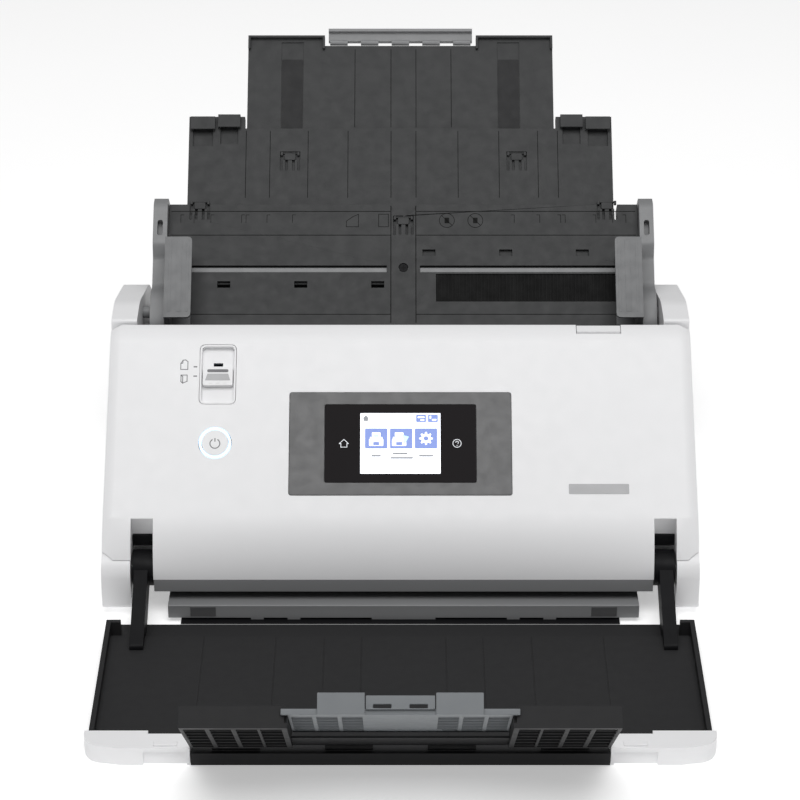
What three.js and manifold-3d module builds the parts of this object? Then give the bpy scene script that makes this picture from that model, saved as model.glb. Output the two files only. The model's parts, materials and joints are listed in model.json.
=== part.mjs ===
// A sheet fed document scanner, standing with its input tray raised and its output tray folded out.
// Millimetres, +Z up, the front towards -Y, the origin at the middle of the footprint on the table.
// The face, the paper path and the input tray are parallel planes, built in one sloping frame:
// X across, local Y (u) up the slope and local Z (v) out of the face.
import * as THREE from "three";
import { mergeVertices } from "three/addons/utils/BufferGeometryUtils.js";
import Module from "manifold-3d";

const wasm = await Module();
wasm.setup();

// Driving dimensions. Heights are above the table, depths are behind the body's front edge.
const GAP = 0.3; // clearance between neighbouring pieces
const WALL = 2.5; // thickness of the moulded covers
const PATH_X = 2; // the paper path lies this far to the right of the body's middle

const SLOPE = 42; // degrees
const FACE_CENTRE = { y: 53, z: 94 };
const PATH_TOP = -44; // v of the paper path's upper guide
const PATH_FLOOR = -48; // v of its lower guide and of the input tray's surface

const BODY_HALF_WIDTH = 188;
const BODY_DEPTH = 226;
const BODY_BOTTOM = 4;
const CHASSIS_FRONT = 31;
const WIDTH_TAPER = 0.0145; // how much each side leans in for each millimetre of height
const TAPER_FROM_X = 175;

const COVER_REAR = 116; // depth of the front cover's rear edge
const COVER_TOP_ARC = { y: 119.7, z: 120.4, radius: 25 };
const COVER_FRONT_ARC = { y: 61.1, z: 17.9, radius: 62 };
const COVER_EDGE_BAND = { across: 7, deep: 4 };
const COVER_ARC_STEPS = 10;
const LIP_TOP = 26;
const LIP_BOTTOM = 17.2;
const EXIT_EDGE = { y: -8, top: 12.2, bottom: 2.8 }; // front edge of the exit guide

const PIVOT = { y: 12, z: 27.6 }; // hinge of the front cover and of the output tray
const DRUM_RADIUS = 14;
const PIN_RADIUS = 3.4;
const HUB_RADIUS = 11.5; // of each output tray arm, round the hinge pin
const NOTCH = { from: 157, to: 171, top: 61.5 }; // recess for each output tray arm, from PATH_X

const PANEL = { width: 140.4, height: 67.8 };
const GLASS = { width: 95.6, height: 51.3 };
const SCREEN = { width: 50.7, height: 40 };
const POWER_BUTTON = { x: -117.2, u: 0.5, hole: 10.6, ring: 10.2, cap: 8.4 };
const SELECTOR = { x: -116.3, width: 23, bottom: 26.3, top: 66, slider: 45 };
const LEVER = { x: 127, width: 28, y: 109, z: 121 };

const TRAY_PIVOT = { u: 103.5, v: -42 };
const TRAY_HALF_WIDTH = 156.3;
const TRAY_BOTTOM = 74; // u
const TRAY_TOP = 182; // u
const TRAY_BACK = -62; // v
const SLEEVE = { half: 143.5, front: -50.2, back: -57.8 };
const EXTENSION_1 = { half: 142.7, panel: 105, top: 238.4, wing: 247, front: -50.7, back: -57.3 };
const EXTENSION_2 = { half: 103.8, top: 307, front: -52.6, back: -55.4 };
const FLAP = { half: 49, bottom: 301.5, top: 312 };
const GUIDE = { outer: 156, inner: 138.4, bottom: 92, top: 148, height: 28 };
const RAIL_U = 136;
const COMB_WIDTH = 13.6;

const OUT_HALF_WIDTH = 183;
const OUT_FRONT = -155.5;
const OUT_REAR = -33;
const OUT_FLOOR = 6;
const OUT_RIM = 12.4;
const ARM = { from: 160.5, to: 169 }; // from PATH_X
const ARM_HOLE = { x: 161.3, u: 161.5, width: 3.6, height: 11 }; // x from PATH_X
const CAP = { inner: 122.7, outer: 185.5, rear: -138.5 };
const OUT_HINGE = { y: -149.5, z: 9.5 };
const OUT_RISE = 44; // degrees the output extension is raised by
const OUT_EXTENSION = { half: 122, inner: 62.5, length: 100, top: 1.6, bottom: -2.4, lip: 10 };
const DRAWER = 7; // height of the second output extension above the first
const DRAWER_REAR = -27; // where it ends, short of the hinge so that it clears the folded tray

const WIDE_TYRES = { tyres: [-111, -37, 37, 111], tyreWidth: 16 };
const NARROW_TYRES = { tyres: [-15, 15], tyreWidth: 18 };
const ROLLERS = [
  { lower: "separation_roller", upper: "pickup_roller", u: 28, radius: 9, ...NARROW_TYRES },
  { lower: "feed_roller", upper: "feed_idler_roller", u: -13, radius: 6, ...WIDE_TYRES },
  { lower: "exit_roller", upper: "exit_idler_roller", u: -58, radius: 5.5, ...WIDE_TYRES },
];
const ROLLER_REACH = 1.85; // how far each roller stands into the path
const SHAFT_RADIUS = 2;
const GUIDE_PLATE = 1.4; // thickness of the paper path's two guides
const PULLEY = { radius: 4, from: -160.4, to: -155.4 };
const MOTOR = { y: 175, z: 45, radius: 18 };
const SENSOR_LOWER = { from: -45, to: -22 };
const SENSOR_UPPER = { from: -4, to: 16 };

const COLOURS = {
  white: "#f2f2f4",
  black: "#1c1d1f",
  tray: "#48494b",
  outputTray: "#2f3031",
  grey: "#8b8c8e",
  guide: "#77797b",
  stopper: "#7d8286",
  bezel: "#5c5d5f",
  glass: "#120d0f",
  lip: "#646466",
  steel: "#a9abad",
  board: "#245a37",
  rubber: "#26272a",
  screen: "#dfe6f2",
  light: "#a9cdee",
};

// Solids

const radians = THREE.MathUtils.degToRad;

// join and cut return manifold-3d solids, which piece() turns back into a geometry.
function toSolid(shape) {
  return shape.isBufferGeometry ? solidFrom(shape) : shape;
}

function solidFrom(geometry) {
  const bare = geometry.index ? geometry.toNonIndexed() : geometry.clone();
  bare.deleteAttribute("normal");
  bare.deleteAttribute("uv");
  const merged = mergeVertices(bare, 1e-3);
  return new wasm.Manifold(
    new wasm.Mesh({
      numProp: 3,
      vertProperties: merged.attributes.position.array,
      triVerts: new Uint32Array(merged.index.array),
    }),
  );
}

function toGeometry(shape) {
  if (shape.isBufferGeometry) return shape;
  const mesh = shape.getMesh();
  const geometry = new THREE.BufferGeometry();
  const positions = new Float32Array(mesh.vertProperties);
  geometry.setAttribute("position", new THREE.BufferAttribute(positions, 3));
  geometry.setIndex(new THREE.BufferAttribute(new Uint32Array(mesh.triVerts), 1));
  geometry.computeVertexNormals();
  return geometry;
}

function join(...shapes) {
  return shapes.map(toSolid).reduce((a, b) => a.add(b));
}

function cut(shape, ...tools) {
  return tools.map(toSolid).reduce((a, b) => a.subtract(b), toSolid(shape));
}

// A closed outline through corners [a, b] or [a, b, r], where r rounds the corner off.
function outline(corners) {
  const shape = new THREE.Shape();
  corners.forEach(([a, b, rounding = 0], i) => {
    const corner = new THREE.Vector2(a, b);
    const before = corners.at(i - 1);
    const after = corners[(i + 1) % corners.length];
    const start = new THREE.Vector2(before[0], before[1]).sub(corner).setLength(rounding).add(corner);
    const end = new THREE.Vector2(after[0], after[1]).sub(corner).setLength(rounding).add(corner);
    if (i === 0) shape.moveTo(start.x, start.y);
    else shape.lineTo(start.x, start.y);
    if (rounding > 0) shape.quadraticCurveTo(a, b, end.x, end.y);
  });
  return shape;
}

function rectangle(x0, x1, y0, y1, rounding = 0) {
  return outline([
    [x0, y0, rounding],
    [x1, y0, rounding],
    [x1, y1, rounding],
    [x0, y1, rounding],
  ]);
}

function centred(x, y, width, height, rounding = 0) {
  return rectangle(x - width / 2, x + width / 2, y - height / 2, y + height / 2, rounding);
}

// An outline in the X-Y plane, made solid between two heights.
function plate(shape, z0, z1, curveSegments = 4) {
  const options = { depth: z1 - z0, bevelEnabled: false, curveSegments };
  return new THREE.ExtrudeGeometry(shape, options).translate(0, 0, z0);
}

// An outline in the Y-Z plane, made solid between two X values, with its end edges bevelled.
function profile(shape, x0, x1, curveSegments = 4, band = { across: 0, deep: 0 }) {
  const geometry = new THREE.ExtrudeGeometry(shape, {
    depth: x1 - x0 - 2 * band.across,
    bevelEnabled: band.across > 0,
    bevelThickness: band.across,
    bevelSize: band.deep,
    bevelOffset: -band.deep,
    bevelSegments: 1,
    curveSegments,
  });
  geometry.translate(0, 0, x0 + band.across);
  const sideView = new THREE.Matrix4().makeBasis(
    new THREE.Vector3(0, 1, 0),
    new THREE.Vector3(0, 0, 1),
    new THREE.Vector3(1, 0, 0),
  );
  return geometry.applyMatrix4(sideView);
}

function block(x0, x1, y0, y1, z0, z1) {
  const geometry = new THREE.BoxGeometry(x1 - x0, y1 - y0, z1 - z0);
  return geometry.translate((x0 + x1) / 2, (y0 + y1) / 2, (z0 + z1) / 2);
}

// A round bar along X.
function rod(radius, x0, x1, y, z, sides = 24) {
  const geometry = new THREE.CylinderGeometry(radius, radius, x1 - x0, sides);
  return geometry.rotateZ(Math.PI / 2).translate((x0 + x1) / 2, y, z);
}

// A round bar along Z.
function post(radius, x, y, z0, z1, sides = 24) {
  const geometry = new THREE.CylinderGeometry(radius, radius, z1 - z0, sides);
  return geometry.rotateX(Math.PI / 2).translate(x, y, (z0 + z1) / 2);
}

// The sloping frame

const slope = new THREE.Group();
slope.position.set(0, FACE_CENTRE.y, FACE_CENTRE.z);
slope.rotation.x = radians(SLOPE);
slope.updateMatrix();

function onSlope(geometry) {
  return geometry.applyMatrix4(slope.matrix);
}

// Body-frame depth and height of a point given up and out of the slope.
function fromSlope(u, v) {
  const point = new THREE.Vector3(0, u, v).applyMatrix4(slope.matrix);
  return { y: point.y, z: point.z };
}

// The other way round.
function toSlope(y, z) {
  const point = new THREE.Vector3(0, y, z).applyMatrix4(slope.matrix.clone().invert());
  return { u: point.y, v: point.z };
}

const body = new THREE.Group();
body.add(slope);

function piece(parent, name, shape, colour, roughness = 0.5, metalness = 0) {
  const material = new THREE.MeshStandardMaterial({ color: COLOURS[colour], roughness, metalness });
  const mesh = new THREE.Mesh(toGeometry(shape), material);
  mesh.name = name;
  parent.add(mesh);
  return mesh;
}

// A span of X measured outwards from the body's middle, on one side of it.
function outwards(side, from, to) {
  return side < 0 ? [-to, -from] : [from, to];
}

// The same, measured from the paper path's middle.
function span(side, from, to) {
  return outwards(side, from, to).map((x) => x + PATH_X);
}

const SIDES = [
  { name: "left", side: -1 },
  { name: "right", side: 1 },
];

// Each side leans in towards the top.
function leanIn(shape) {
  const geometry = toGeometry(shape);
  const position = geometry.attributes.position;
  for (let i = 0; i < position.count; i++) {
    const x = position.getX(i);
    if (Math.abs(x) > TAPER_FROM_X) {
      position.setX(i, x - Math.sign(x) * position.getZ(i) * WIDTH_TAPER);
    }
  }
  return geometry;
}

// Base

function sideCover({ name, side }) {
  const rise = radians(SLOPE);
  const seam = PATH_TOP - 2.3; // the base's upper edge, just under the front cover
  const earFront = COVER_REAR + 2.3;
  const seamTop = FACE_CENTRE.z + (seam + (earFront - FACE_CENTRE.y) * Math.sin(rise)) / Math.cos(rise);
  const shape = new THREE.Shape();
  shape.moveTo(BODY_DEPTH - 4, BODY_BOTTOM);
  shape.lineTo(BODY_DEPTH, 8);
  shape.lineTo(BODY_DEPTH, 108);
  shape.quadraticCurveTo(BODY_DEPTH, 113, BODY_DEPTH - 4.5, 115.5);
  shape.lineTo(210, 125);
  shape.quadraticCurveTo(205, 128, 199, 130);
  shape.lineTo(150, 146);
  shape.quadraticCurveTo(143, 148.2, 136, 148.2);
  shape.lineTo(earFront + 2, 147.4);
  shape.quadraticCurveTo(earFront, 147.2, earFront, 145);
  shape.lineTo(earFront, seamTop);
  shape.lineTo(fromSlope(-44, seam).y, fromSlope(-44, seam).z);
  shape.lineTo(PIVOT.y + DRUM_RADIUS, PIVOT.z - 2);
  shape.absarc(PIVOT.y, PIVOT.z, DRUM_RADIUS, 0, Math.PI, false);
  shape.lineTo(PIVOT.y - DRUM_RADIUS, 10);
  shape.quadraticCurveTo(PIVOT.y - DRUM_RADIUS, BODY_BOTTOM, 5, BODY_BOTTOM);
  const hollow = outline([
    [30, -10],
    [BODY_DEPTH - WALL, -10],
    [BODY_DEPTH - WALL, 108],
    [199, 126.5],
    [140, 145],
    [earFront + WALL, 144],
    [earFront + WALL, seamTop - 3],
    [44, 24],
    [30, 20],
  ]);
  const x0 = side < 0 ? -BODY_HALF_WIDTH : 169.3;
  const [armFrom, armTo] = span(side, 0, NOTCH.to + GAP);
  const [pinFrom, pinTo] = span(side, 0, 177);
  const trayPivot = fromSlope(TRAY_PIVOT.u, TRAY_PIVOT.v);
  const shell = cut(
    profile(shape, x0, x0 + BODY_HALF_WIDTH - 169.3, 8),
    profile(hollow, ...(side < 0 ? [-185.5, -171.8] : [171.8, 185.5])),
    block(armFrom, armTo, -20, 34, 0, 60),
    rod(PIN_RADIUS + GAP, pinFrom, pinTo, PIVOT.y, PIVOT.z, 20),
    rod(4.4, ...(side < 0 ? [-175, -160] : [160, 175]), trayPivot.y, trayPivot.z, 20),
  );
  piece(body, `${name}_side_cover`, leanIn(shell), "white");
  const pin = rod(PIN_RADIUS, ...span(side, 149.5, 176), PIVOT.y, PIVOT.z, 20);
  piece(body, `${name}_hinge_pin`, pin, "steel", 0.3, 1);
}

function chassis() {
  const deckBottom = 85.5;
  const deckTop = 88;
  const frontLow = fromSlope(-72, -52);
  const deckFront = fromSlope(56, -52);
  const wallShape = outline([
    [CHASSIS_FRONT, BODY_BOTTOM + GAP],
    [222, BODY_BOTTOM + GAP],
    [222, deckTop],
    [deckFront.y, deckTop],
    [frontLow.y + 4, frontLow.z],
    [CHASSIS_FRONT, frontLow.z - 1],
  ]);
  const sidePlates = [-168.5, 163.5].map((x) => profile(wallShape, x, x + 5));
  const floor = block(-168.5, 168.5, CHASSIS_FRONT, 222, BODY_BOTTOM + GAP, BODY_BOTTOM + GAP + WALL);
  const deck = block(-168.5, 168.5, deckFront.y, 198.6, deckBottom, deckTop);
  const rearBeam = block(-168.5, 168.5, 206, 212, BODY_BOTTOM + GAP, 30);
  const apronShape = outline([
    [-11.5, 0.3],
    [CHASSIS_FRONT + 9, 0.3],
    [CHASSIS_FRONT + 9, BODY_BOTTOM + GAP + 1],
    [CHASSIS_FRONT + 1, BODY_BOTTOM + GAP + 1],
    [CHASSIS_FRONT - 3, 1.3],
    [-11.5, 1.3],
  ]);
  const apron = profile(apronShape, -138, 138);
  piece(body, "base_chassis", join(floor, deck, rearBeam, apron, ...sidePlates), "black");

  for (const [end, y] of [["front", 40], ["rear", 205]]) {
    for (const { name, side } of SIDES) {
      piece(body, `${end}_${name}_foot`, post(8, side * 150, y, 0, BODY_BOTTOM, 16), "rubber", 0.9);
    }
  }
}

const PORTS = [
  { name: "power_inlet", x: 118, z: 28, width: 18, height: 14, round: true },
  { name: "usb_port", x: -30, z: 26, width: 13, height: 12 },
  { name: "network_port", x: 20, z: 27, width: 17, height: 14 },
];

// A box round the middle of a port, larger than it by spare on every side.
function portBox({ x, z, width, height }, spare, y0, y1) {
  const halfWidth = width / 2 + spare;
  const halfHeight = height / 2 + spare;
  return block(x - halfWidth, x + halfWidth, y0, y1, z - halfHeight, z + halfHeight);
}

function rearCover() {
  const shape = outline([
    [BODY_DEPTH, BODY_BOTTOM + 1],
    [BODY_DEPTH, 104, 6],
    [199, 104],
    [199, 90],
    [199 + WALL, 90],
    [199 + WALL, 104 - WALL],
    [BODY_DEPTH - WALL, 104 - WALL],
    [BODY_DEPTH - WALL, BODY_BOTTOM + 1],
  ]);
  const holes = PORTS.map((port) => portBox(port, GAP, 215, 230));
  const vents = [-120, -96, -72].flatMap((x) =>
    [64, 70, 76, 82].map((z) => block(x, x + 18, 215, 230, z, z + 2.5)),
  );
  piece(body, "rear_cover", cut(profile(shape, -168.9, 168.9), ...holes, ...vents), "white");
  piece(body, "main_board", block(-125, 132, 215, 216.6, 14, 82), "board");
  for (const port of PORTS) {
    const { name, x, z, round } = port;
    const socket = round
      ? rod(4.6, -20, 20, 0, 0).rotateZ(Math.PI / 2).translate(x, 239.4, z)
      : portBox(port, -2, 219.4, 230);
    piece(body, name, cut(portBox(port, 0, 216.9, 225.7), socket), round ? "black" : "steel", 0.4);
  }
}

function tyreSpans({ tyres, tyreWidth }) {
  return tyres.map((x) => [PATH_X + x - tyreWidth / 2, PATH_X + x + tyreWidth / 2]);
}

function windowsFor(v0, v1) {
  return ROLLERS.flatMap((roller) =>
    tyreSpans(roller).map(([x0, x1]) =>
      block(x0 - 1, x1 + 1, roller.u - roller.radius - 1, roller.u + roller.radius + 1, v0, v1),
    ),
  );
}

function lowerPath() {
  const guide = cut(
    block(...span(1, -156, 156), -70, 72, PATH_FLOOR - GUIDE_PLATE, PATH_FLOOR),
    block(...span(1, -153, 153), SENSOR_LOWER.from, SENSOR_LOWER.to, -60, -40),
    ...windowsFor(-60, -40),
  );
  piece(slope, "lower_paper_guide", guide, "black");
  const { from, to } = SENSOR_LOWER;
  const sensorX = span(1, -152.5, 152.5);
  const glass = block(...sensorX, from + GAP, to - GAP, -50.2, PATH_FLOOR);
  piece(slope, "lower_sensor_glass", glass, "glass", 0.1);
  piece(slope, "lower_image_sensor", block(...sensorX, from + GAP, to - GAP, -66, -50.5), "black");

  const { y, top, bottom } = EXIT_EDGE;
  const exitShape = outline([
    [30, 4.8],
    [30, 8.4],
    [14, 9.4],
    [y, top, 1],
    [y, bottom],
    [y + 1.6, bottom],
    [y + 3, 4.8],
  ]);
  const tongues = [[-96, -88], [-73, -65], [-20, 20], [65, 73], [88, 96]].map(([x0, x1]) =>
    block(PATH_X + x0, PATH_X + x1, y, y + 1.2, bottom - 1.3, bottom + 1),
  );
  piece(body, "exit_guide", join(profile(exitShape, -146, 150), ...tongues), "grey");

  piece(body, "feed_motor", rod(MOTOR.radius, -150, -112, MOTOR.y, MOTOR.z, 28), "steel", 0.4, 0.8);
  const pulley = join(
    rod(PULLEY.radius, PULLEY.from, PULLEY.to, MOTOR.y, MOTOR.z),
    rod(SHAFT_RADIUS, PULLEY.to - 1, -150 - GAP, MOTOR.y, MOTOR.z, 16),
  );
  piece(body, "motor_pulley", pulley, "steel", 0.4, 0.8);
}

// A loop pulled tight round circles of one radius, whose centres go round anticlockwise.
function beltLoop(centres, radius) {
  const loop = new THREE.Path();
  centres.forEach((centre, i) => {
    const before = centres.at(i - 1);
    const after = centres[(i + 1) % centres.length];
    const start = Math.atan2(centre.z - before.z, centre.y - before.y) - Math.PI / 2;
    const end = Math.atan2(after.z - centre.z, after.y - centre.y) - Math.PI / 2;
    loop.absarc(centre.y, centre.z, radius, start, end, false);
  });
  return loop;
}

function rollers() {
  for (const roller of ROLLERS) {
    const { u, radius } = roller;
    const lowerV = PATH_FLOOR + ROLLER_REACH - radius;
    const upperV = PATH_TOP - ROLLER_REACH + radius;
    const tyres = (v) => tyreSpans(roller).map(([x0, x1]) => rod(radius, x0, x1, u, v, 18));
    const pulley = rod(PULLEY.radius, PULLEY.from, PULLEY.to, u, lowerV, 16);
    const lowerShaft = rod(SHAFT_RADIUS, PULLEY.to - 1, 157, u, lowerV, 12);
    piece(slope, roller.lower, join(lowerShaft, pulley, ...tyres(lowerV)), "rubber", 0.85);
    const upperShaft = rod(SHAFT_RADIUS, ...span(1, -148, 148), u, upperV, 12);
    piece(slope, roller.upper, join(upperShaft, ...tyres(upperV)), "rubber", 0.85);
  }
  const driven = ROLLERS.map(({ u, radius }) => fromSlope(u, PATH_FLOOR + ROLLER_REACH - radius));
  const centres = [MOTOR, ...driven];
  const belt = new THREE.Shape(beltLoop(centres, PULLEY.radius + 1.8).getPoints(3));
  belt.holes.push(new THREE.Path(beltLoop(centres, PULLEY.radius + 0.6).getPoints(3)));
  piece(body, "drive_belt", profile(belt, PULLEY.from + 0.5, PULLEY.to - 0.5), "rubber", 0.9);
}

// Front cover

// The face seen from the side, drawn past the cover's rear and bottom edges, which are cut off it.
function coverOutline(inset) {
  const rear = COVER_REAR + 40;
  const topRadius = COVER_TOP_ARC.radius - inset;
  const faceNormal = radians(90 + SLOPE);
  const shape = new THREE.Shape();
  shape.moveTo(rear, -20);
  shape.lineTo(rear, COVER_TOP_ARC.z + topRadius);
  shape.absarc(COVER_TOP_ARC.y, COVER_TOP_ARC.z, topRadius, Math.PI / 2, faceNormal, false);
  const frontRadius = COVER_FRONT_ARC.radius - inset;
  shape.absarc(COVER_FRONT_ARC.y, COVER_FRONT_ARC.z, frontRadius, faceNormal, Math.PI, false);
  shape.lineTo(COVER_FRONT_ARC.y - frontRadius, -20);
  return shape;
}

function coverShell() {
  const half = BODY_HALF_WIDTH;
  const inside = coverOutline(WALL);
  const rearWall = block(-200, 200, COVER_REAR - WALL, 200, -30, 160);
  const upperHollow = cut(
    profile(inside, 3 - half, half - 3, COVER_ARC_STEPS),
    block(-200, 200, -30, 200, -30, 66),
    rearWall,
  );
  const lowerHollow = cut(
    profile(inside, ...span(1, -154.5, 154.5), COVER_ARC_STEPS),
    block(-200, 200, -30, 200, 67, 160),
    rearWall,
  );
  const notchShape = outline([
    [-30, -20],
    [25, -20],
    [25, 30],
    [22, 40],
    [16.5, NOTCH.top],
    [-30, NOTCH.top + 30],
  ]);
  const behindDrum = outline([
    [PIVOT.y, -20],
    [PIVOT.y, PIVOT.z],
    [PIVOT.y + DRUM_RADIUS + 0.6, PIVOT.z],
    [fromSlope(-45, PATH_TOP).y, fromSlope(-45, PATH_TOP).z],
    [fromSlope(-45, PATH_TOP).y, -20],
  ]);
  const sideCuts = SIDES.flatMap(({ side }) => [
    profile(notchShape, ...span(side, NOTCH.from, NOTCH.to)),
    rod(DRUM_RADIUS + 0.6, ...span(side, NOTCH.to - 1, 200), PIVOT.y, PIVOT.z, 48),
    block(...span(side, NOTCH.to - 1, 200), -20, PIVOT.y, -20, 38.9),
    profile(behindDrum, ...span(side, NOTCH.to - 4, 200)),
    rod(PIN_RADIUS + GAP, ...span(side, 140, 160), PIVOT.y, PIVOT.z),
  ]);
  const wellLeft = SELECTOR.x - SELECTOR.width / 2;
  const wellHeight = [SELECTOR.bottom - GAP, SELECTOR.top + GAP];
  const faceCuts = [
    plate(centred(0, 0, PANEL.width + 2 * GAP, PANEL.height + 2 * GAP, 2), -8, 6),
    post(POWER_BUTTON.hole, POWER_BUTTON.x, POWER_BUTTON.u, -8, 6, 36),
    plate(rectangle(wellLeft - GAP, wellLeft + SELECTOR.width + GAP, ...wellHeight, 4), -8, 6),
  ].map(onSlope);
  const leverHalf = LEVER.width / 2 + 0.4;
  const leverCut = block(LEVER.x - leverHalf, LEVER.x + leverHalf, 108.5, 120, 112, 150);
  const shell = cut(
    profile(coverOutline(0), -half, half, COVER_ARC_STEPS, COVER_EDGE_BAND),
    block(-200, 200, COVER_REAR, 200, -30, 160),
    onSlope(block(-200, 200, -200, 200, -200, PATH_TOP)),
    upperHollow,
    lowerHollow,
    block(...span(1, -NOTCH.from - 1, NOTCH.from + 1), -20, 40, -20, LIP_TOP + GAP),
    ...sideCuts,
    ...faceCuts,
    leverCut,
  );
  piece(body, "front_cover_shell", leanIn(shell), "white", 0.4);

  const lipShape = new THREE.Shape();
  const { y, z, radius } = COVER_FRONT_ARC;
  lipShape.moveTo(4.2, LIP_BOTTOM);
  lipShape.lineTo(3.2, LIP_TOP);
  lipShape.absarc(y, z, radius, Math.PI - Math.asin((LIP_TOP - z) / radius), Math.PI, false);
  lipShape.lineTo(0.3, LIP_BOTTOM);
  piece(body, "cover_lip", profile(lipShape, ...span(1, -156.7, 156.7)), "lip");
}

function coverInside() {
  const guide = cut(
    block(...span(1, -153.5, 153.5), -66, 40, PATH_TOP, PATH_TOP + GUIDE_PLATE),
    block(...span(1, -149.5, 149.5), SENSOR_UPPER.from, SENSOR_UPPER.to, -60, -30),
    ...windowsFor(-60, -30),
  );
  const { u: pivotU, v: pivotV } = toSlope(PIVOT.y, PIVOT.z);
  const cheekShape = outline([
    [-66, PATH_TOP],
    [40, PATH_TOP],
    [40, -36],
    [34, -14],
    [-40, -8],
    [pivotU + 2, pivotV + 9],
    [pivotU - 8, pivotV + 3],
    [pivotU - 6, pivotV - 6],
  ]);
  const cheeks = [-153.5, 150].map((x) =>
    cut(
      profile(cheekShape, PATH_X + x, PATH_X + x + 3.5),
      rod(PIN_RADIUS + GAP, PATH_X + x - 1, PATH_X + x + 5, pivotU, pivotV, 20),
    ),
  );
  const beam = block(...span(1, -151, 151), -40, -37, -43, -10);
  piece(slope, "cover_inner_frame", join(guide, beam, ...cheeks), "black");

  const sensorX = span(1, -149, 149);
  const { from, to } = SENSOR_UPPER;
  const glass = block(...sensorX, from + GAP, to - GAP, PATH_TOP, -41.8);
  piece(slope, "upper_sensor_glass", glass, "glass", 0.1);
  piece(slope, "upper_image_sensor", block(...sensorX, from + GAP, to - GAP, -41.5, -27), "black");
}

function panel() {
  const { width, height } = PANEL;
  const frame = cut(
    plate(centred(0, 0, width, height, 1.8), -3.4, 0.5),
    plate(centred(0, 0, GLASS.width + 2 * GAP, GLASS.height + 2 * GAP, 1.5), -1, 2),
    plate(centred(0, 0, SCREEN.width + 2 * GAP, SCREEN.height + 2 * GAP), -5, 2),
  );
  piece(slope, "panel_bezel", frame, "bezel");
  const glass = plate(centred(0, 0, GLASS.width, GLASS.height, 1.3), -0.7, 0.5);
  piece(slope, "panel_glass", glass, "glass", 0.05);
  piece(slope, "lcd_screen", plate(centred(0, 0, SCREEN.width, SCREEN.height), -3.4, -1), "screen");

  const { x, u, ring, cap } = POWER_BUTTON;
  const lightRing = cut(post(ring, x, u, -3, 0.2, 36), post(cap + GAP, x, u, -6, 3, 36));
  piece(slope, "power_button_ring", lightRing, "light", 0.3);
  piece(slope, "power_button", post(cap, x, u, -3, 0.3, 36), "white");

  const left = SELECTOR.x - SELECTOR.width / 2;
  const right = SELECTOR.x + SELECTOR.width / 2;
  const housing = cut(
    plate(rectangle(left, right, SELECTOR.bottom, SELECTOR.top, 3.8), -5.5, 0),
    plate(rectangle(left + 1.2, right - 1.2, SELECTOR.bottom + 1.2, SELECTOR.top - 1.2, 3), -4, 3),
    block(SELECTOR.x - 3, SELECTOR.x + 3, SELECTOR.slider - 4, SELECTOR.slider + 10, -8, 0),
  );
  piece(slope, "selector_housing", housing, "white");
  const slider = join(
    plate(rectangle(left + 2, right - 2, SELECTOR.slider - 6.2, SELECTOR.slider + 6.2, 1), -3.6, 0.4),
    block(SELECTOR.x - 2.4, SELECTOR.x + 2.4, SELECTOR.slider - 3, SELECTOR.slider + 3, -8, -3),
  );
  piece(slope, "feed_selector", slider, "white");
}

function latch() {
  const half = LEVER.width / 2;
  const shape = outline([
    [LEVER.y - 3, LEVER.z + 2.4],
    [LEVER.y + 3, LEVER.z + 2.4],
    [COVER_REAR - 0.2, 132],
    [COVER_REAR - 0.2, 145.1, 1],
    [109.2, 143.9],
    [109.2, 134],
    [LEVER.y - 3, 128],
  ]);
  const lever = cut(
    profile(shape, LEVER.x - half, LEVER.x + half),
    rod(SHAFT_RADIUS + GAP, 100, 150, LEVER.y, LEVER.z, 20),
  );
  piece(body, "cover_lever", lever, "white");
  const hookShape = outline([
    [LEVER.y - 4, LEVER.z + 4],
    [LEVER.y + 3, LEVER.z + 4],
    [LEVER.y + 3, 100],
    [LEVER.y - 3, 97],
  ]);
  const hooks = [-149, 143].map((x) => profile(hookShape, PATH_X + x, PATH_X + x + 5));
  const shaft = rod(SHAFT_RADIUS, ...span(1, -148, 148), LEVER.y, LEVER.z, 20);
  piece(body, "latch_shaft", join(shaft, ...hooks), "steel", 0.4, 0.8);
}

// Input tray

// Slots for a small paper clip: one wide opening and four fingers running down from it.
function comb(x, top) {
  const fingers = [-5.9, -2.3, 2.3, 5.9].map((dx) =>
    plate(rectangle(x + dx - 0.9, x + dx + 0.9, top - 14, top - 4, 0.8), -70, -40, 2),
  );
  return [block(x - COMB_WIDTH / 2, x + COMB_WIDTH / 2, top - 6, top, -70, -40), ...fingers];
}

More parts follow.
